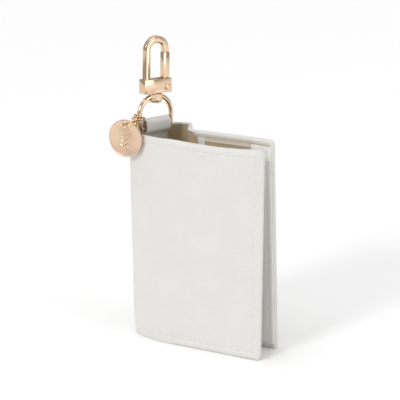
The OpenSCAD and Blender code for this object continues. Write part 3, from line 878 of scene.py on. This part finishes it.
def coverRows(side, reach, depthOf, sign):
    inset, pitch, high = stitchLook["inset"], stitchLook["pitch"], case["high"]
    at = (lambda s: s) if side == "front" else (lambda s: farEnd - s)
    rows = []
    for z in (inset, high - inset):
        count = max(2, round((reach - inset) / 1.3))
        us = [inset + pitch / 2 + (reach - inset - pitch / 2) * i / count for i in range(count + 1)]
        rows.append([onSurface(at(s), z, depthOf, sign) for s in us])
    count = 50
    zs = [inset + pitch / 2 + (high - 2 * inset - pitch) * i / count for i in range(count + 1)]
    rows.append([onSurface(at(inset), z, depthOf, sign) for z in zs])
    return rows


def sewnFace(u, z):
    return facingFace(u, z) if min(u, farEnd - u) < pocketLook["foreEdge"] else pocketFace(u, z)


def onLeather(u, z):
    return outerDepth(u, z) - 0.02


def onPocket(u, z):
    return sewnFace(u, z) + 0.03


frontStitches = sewn("stitchesFront", coverRows("front", 72.0, onLeather, -1))
backStitches = sewn("stitchesBack", coverRows("back", runs[-1][2] - 6, onLeather, -1))
frontInner = sewn("pocketStitchesFront", coverRows("front", mouthAt["front"] + 3, onPocket, 1))
backInner = sewn("pocketStitchesBack", coverRows("back", mouthAt["back"] + 3, onPocket, 1))
strapRows = []
for z in (strapLook["tailFoot"] + 1.5, barAt[2] / mm - 5.0):
    face = strapLook["legIn"] - strapLook["thick"] / 2 - 0.04
    strapRows.append([(atLoop(s, face, z), -outWay) for s in np.linspace(-5.2, 5.2, 9)])
strapStitches = sewn("strapStitches", strapRows)
print("stitches are sewn:", len(frontStitches.data.polygons))

# Swivel ring: a wire bent to a D, with a turned barrel on top
ringLook = dict(wire=1.2, halfWide=9.6, sideHigh=6.6, corner=3.8, barrelRadius=3.5, barrelHigh=3.7, bore=1.45)


def ringPath(look):
    z0 = barAt[2] / mm
    w, c, top = look["halfWide"], look["corner"], z0 + look["sideHigh"]
    path = [(w * math.cos(math.pi * i / 40), top + w * math.sin(math.pi * i / 40)) for i in range(41)]
    path += [(-w, top - (top - z0 - c) * i / 4) for i in range(1, 4)]
    bends = [polar(c, a) for a in range(0, 91, 10)]
    path += [(-w + c - a, z0 + c - b) for a, b in bends]
    path += [(-w + c + (2 * w - 2 * c) * i / 8, z0) for i in range(1, 8)]
    path += [(w - c + b, z0 + c - a) for a, b in bends]
    path += [(w, z0 + c + (top - z0 - c) * i / 4) for i in range(1, 4)]
    return [atRing(s, 0, z) for s, z in path]


dRing = swept("dRingWire", ringPath(ringLook), outWay, roundSection(ringLook["wire"]), True, roseGold)
ringTop = barAt[2] / mm + ringLook["sideHigh"] + ringLook["halfWide"] + ringLook["wire"]
barrelFoot = ringTop - ringLook["barrelHigh"]


def barrelProfile(look, foot, top):
    r, b, e = look["barrelRadius"], look["bore"], 0.45
    bends = [polar(e, a) for a in range(0, 91, 18)]
    outer = [(r - e + v, foot + e - h) for h, v in bends]
    outer += [(r - 0.12, foot + (top - foot) * 0.35), (r - 0.12, foot + (top - foot) * 0.65)]
    outer += [(r - e + h, top - e + v) for h, v in bends]
    return [(b, foot + 0.15), (b + 0.15, foot)] + outer + [(b + 0.15, top), (b, top - 0.15)]


barrel = lathed("ringBarrel", barrelProfile(ringLook, barrelFoot, ringTop), roseGold)
swivelRing = joined("swivelRing", [dRing, barrel])

rivetLook = dict(shaft=1.4, head=3.0, headHigh=1.2, rimHigh=0.45, play=0.15, sunk=2.55)


def rivetProfile(look):
    top = barrelFoot - look["play"]
    foot = top - look["headHigh"]
    dome = [(0.0, foot)]
    for a in range(10, 91, 10):
        domeHigh = (look["headHigh"] - look["rimHigh"]) * math.cos(math.radians(a))
        dome.append((look["head"] * math.sin(math.radians(a)), top - look["rimHigh"] - domeHigh))
    return dome + [(look["head"], top - 0.12), (look["head"] - 0.12, top), (look["shaft"], top),
                   (look["shaft"], ringTop + look["sunk"]), (0.0, ringTop + look["sunk"])]


rivet = lathed("swivelRivet", rivetProfile(rivetLook), roseGold)


# A merged copy of a machined piece with its edges broken, as polishing leaves them
def polished(name, node, edge, material, angle=28):
    bm = bmesh.new()
    bm.from_mesh(frame["nodes"][node].data)
    bmesh.ops.remove_doubles(bm, verts=bm.verts, dist=2e-6)
    bmesh.ops.dissolve_limit(bm, angle_limit=math.radians(0.4), verts=bm.verts, edges=bm.edges)
    bmesh.ops.recalc_face_normals(bm, faces=bm.faces)
    mesh = bpy.data.meshes.new(name)
    bm.to_mesh(mesh)
    bm.free()
    mesh.materials.append(material)
    ob = linked(bpy.data.objects.new(name, mesh))
    bevel = ob.modifiers.new("brokenEdge", "BEVEL")
    bevel.width, bevel.segments, bevel.limit_method = edge * mm, 2, "ANGLE"
    bevel.angle_limit = math.radians(angle)
    bpy.context.view_layer.update()
    made = bpy.data.meshes.new_from_object(ob.evaluated_get(bpy.context.evaluated_depsgraph_get()))
    ob.modifiers.clear()
    ob.data = made
    made.shade_smooth()
    made.set_sharp_from_angle(angle=math.radians(50))
    return ob


claspBody = polished("claspBody", "clasp_body", 0.28, roseGold)
claspGate = polished("claspGate", "clasp_gate", 0.25, roseGold)
gatePin = polished("gatePin", "gate_pin", 0.12, roseGold)
charmDisc = polished("charmDisc", "charm_disc", 0.12, charmGold)
print("clasp is made")

# Jump rings of the charm's chain, each cut once
linkLook = dict(wire=0.45, lowerEntry=20.0, lowerTilt=6.0, cut=2.5)


def middleOf(node):
    low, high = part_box(node)
    return (Vector(low) + Vector(high)) / 2, (Vector(high) - Vector(low)) / mm


def jumpRing(name, centre, radius, xWay, yWay, cutAt):
    count, gap = 56, math.radians(linkLook["cut"])
    turns = [math.radians(cutAt) + gap / 2 + (2 * math.pi - gap) * i / count for i in range(count + 1)]
    points = [centre + (xWay * math.cos(a) + yWay * math.sin(a)) * (radius * mm) for a in turns]
    across = xWay.cross(yWay).normalized()
    return swept(name, points, across, roundSection(linkLook["wire"], 14), False, linkGold)


upperMid, upperSize = middleOf("upper_link_ring")
middleMid, middleSize = middleOf("middle_link_ring")
lowerMid, lowerSize = middleOf("lower_link_ring")
linkRadius = upperSize.x / 2 - linkLook["wire"]
chainWay = Vector((lowerMid.x - upperMid.x, lowerMid.y - upperMid.y, 0)).normalized()
entry, tilt = math.radians(linkLook["lowerEntry"]), math.radians(linkLook["lowerTilt"])
entryWay = Vector((math.cos(entry) * math.cos(tilt), math.sin(entry) * math.cos(tilt), math.sin(tilt)))
crossWay = Vector((-math.sin(entry), math.cos(entry), 0))
charmHole = Vector(joints["charm_swing"]["pos_m"])
lowerRadius = (lowerMid - charmHole).length / mm
upperLink = jumpRing("upperLink", upperMid, linkRadius, Vector((1, 0, 0)), Vector((0, 1, 0)), 200)
middleLink = jumpRing("middleLink", middleMid, linkRadius, chainWay, up, 60)
lowerLink = jumpRing("lowerLink", lowerMid, lowerRadius, entryWay, crossWay, 320)

# The charm's relief: a plain leafy sprig, raised from the sunk face
sprigLook = dict(stemFoot=-6.6, stemTop=3.6, stemWide=0.6, leafLong=3.9, leafWide=1.7, leafHigh=0.42, rows=4)
charmLow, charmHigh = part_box("charm_disc")
charmMid = (Vector(charmLow) + Vector(charmHigh)) / 2
charmFace = charmLow[1] + 0.15 * mm


def onCharm(x, z, rise):
    return Vector((charmMid.x + x * mm, charmFace - rise * mm, charmMid.z + z * mm))


def leafMesh(name, footX, footZ, turn, long, wide, high):
    rows, cols = 12, 6
    verts, faces = [], []
    for i in range(rows + 1):
        t = i / rows
        half = wide / 2 * math.sin(math.pi * t ** 0.85) + 0.02
        for j in range(cols + 1):
            v = 2 * j / cols - 1
            x, z = half * v, long * t
            vein = 0.07 * bump(v, 0.25) * math.sin(math.pi * t)
            rise = high * math.sin(math.pi * min(t, 1)) ** 0.5 * (1 - v * v) ** 0.6 - vein
            c, s = math.cos(turn), math.sin(turn)
            verts.append(onCharm(footX + x * c + z * s, footZ - x * s + z * c, rise - 0.03))
    m = cols + 1
    faces = [(i * m + j, i * m + j + 1, (i + 1) * m + j + 1, (i + 1) * m + j)
             for i in range(rows) for j in range(cols)]
    top = len(verts)
    verts += [v + Vector((0, 0.12 * mm, 0)) for v in verts]
    faces += [tuple(top + k for k in reversed(f)) for f in faces]
    rim = [j for j in range(m)] + [i * m + cols for i in range(1, rows + 1)]
    rim += [rows * m + j for j in reversed(range(cols))] + [i * m for i in reversed(range(1, rows))]
    faces += [(a, b, top + b, top + a) for a, b in zip(rim, rim[1:] + rim[:1])]
    return meshObject(name, verts, faces, roseGold, 60)


def stemAt(z):
    return 0.35 * math.sin(z / 4)


def makeSprig(look):
    stem = [onCharm(stemAt(z), z, 0.02) for z in np.linspace(look["stemFoot"], look["stemTop"], 24)]
    section = roundSection(look["stemWide"] / 2, 10)
    parts = [swept("stem", stem, Vector((0, -1, 0)), section, False, roseGold)]
    long, wide, high = look["leafLong"], look["leafWide"], look["leafHigh"]
    for k in range(look["rows"]):
        z = look["stemFoot"] + 1.6 + k * 2.35
        size = 1 - 0.1 * k
        for side in (-1, 1):
            turn = side * math.radians(48)
            parts.append(leafMesh("leaf", stemAt(z), z + 0.3 * side, turn, long * size, wide * size, high))
    parts.append(leafMesh("leaf", 0.3, look["stemTop"] - 0.3, 0.1, long * 0.62, wide * 0.8, high))
    return joined("charmSprig", parts)


sprig = makeSprig(sprigLook)
print("charm and links are made")

# Board and padding inside each cover, set as the leather is; the spring keeps its own shape
fillLook = dict(foreEdge=1.4, paddingOut=0.85, boardOut=1.45, boardIn=2.45, sideways=1.6)
fillLook["reach"] = dict(front=case["coverWide"] - 4.6, back=0.0 - backHingeX / mm + originX - 2.1)


def fillLayer(name, side, outer, inner, material):
    look = fillLook
    reach = steps([(look["foreEdge"], 1.2), (look["reach"][side], 1)])
    us = reach if side == "front" else [farEnd - s for s in reversed(reach)]
    return layer(name, us, [i / 20 for i in range(21)], lambda u, z: outer, lambda u, z: inner,
                 lambda u: look["sideways"], lambda u: case["high"] - look["sideways"],
                 lambda u: 0.15, material)


fillings = {}
for side in ("front", "back"):
    fillings[side] = (
        fillLayer("padding" + side.title(), side, fillLook["paddingOut"], fillLook["boardOut"] - 0.01, foam),
        fillLayer("board" + side.title(), side, fillLook["boardOut"], fillLook["boardIn"], board))
for held in frame["nodes"]["gate_spring"].material_slots:
    held.material = springSteel
print("boards and padding are made")


coverBody = dict(front="front_cover", back="back_cover")
for side, skin, cloth, seams, inner in (("front", frontLeather, frontLining, frontStitches, frontInner),
                                        ("back", backLeather, backLining, backStitches, backInner)):
    bendOver(skin)
    bendOver(cloth)
    if side == "front":
        bendOver(seams)
    else:
        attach(seams, coverBody[side])
    panel, hem, binding, facing = pockets[side]
    for piece in (panel, hem, binding, facing, inner):
        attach(piece, coverBody[side])
    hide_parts(side + "_pocket")
    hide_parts(side + "_pocket_edge")
    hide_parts(side + "_facing")
    for piece, part in zip(fillings[side], ("padding", "board")):
        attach(piece, coverBody[side])
        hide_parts(side + "_" + part)
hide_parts("front_skin", "spine_skin")
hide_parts("back_skin")
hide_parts("front_lining", "spine_lining")
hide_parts("back_lining")
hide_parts("front_stitching", "spine_stitching")
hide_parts("back_stitching")
for piece, body, slot, nodes in (
        (strap, "spine", "leather", ["strap_loop"]),
        (strapStitches, "spine", "thread", ["strap_stitching"]),
        (swivelRing, "ring", "rose_gold", ["swivel_ring"]),
        (rivet, "clasp", "rose_gold", ["swivel_rivet"]),
        (claspBody, "clasp", "rose_gold", ["clasp_body"]),
        (gatePin, "clasp", "rose_gold", ["gate_pin"]),
        (claspGate, "gate", "rose_gold", ["clasp_gate"]),
        (upperLink, "upper_link", "yellow_gold", ["upper_link_ring"]),
        (middleLink, "middle_link", "yellow_gold", ["middle_link_ring"]),
        (lowerLink, "lower_link", "yellow_gold", ["lower_link_ring"]),
        (charmDisc, "charm", "rose_gold", ["charm_disc"]),
        (sprig, "charm", "rose_gold", [])):
    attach(piece, body)
    if nodes:
        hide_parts(*nodes)
print("pieces ride on their bodies")
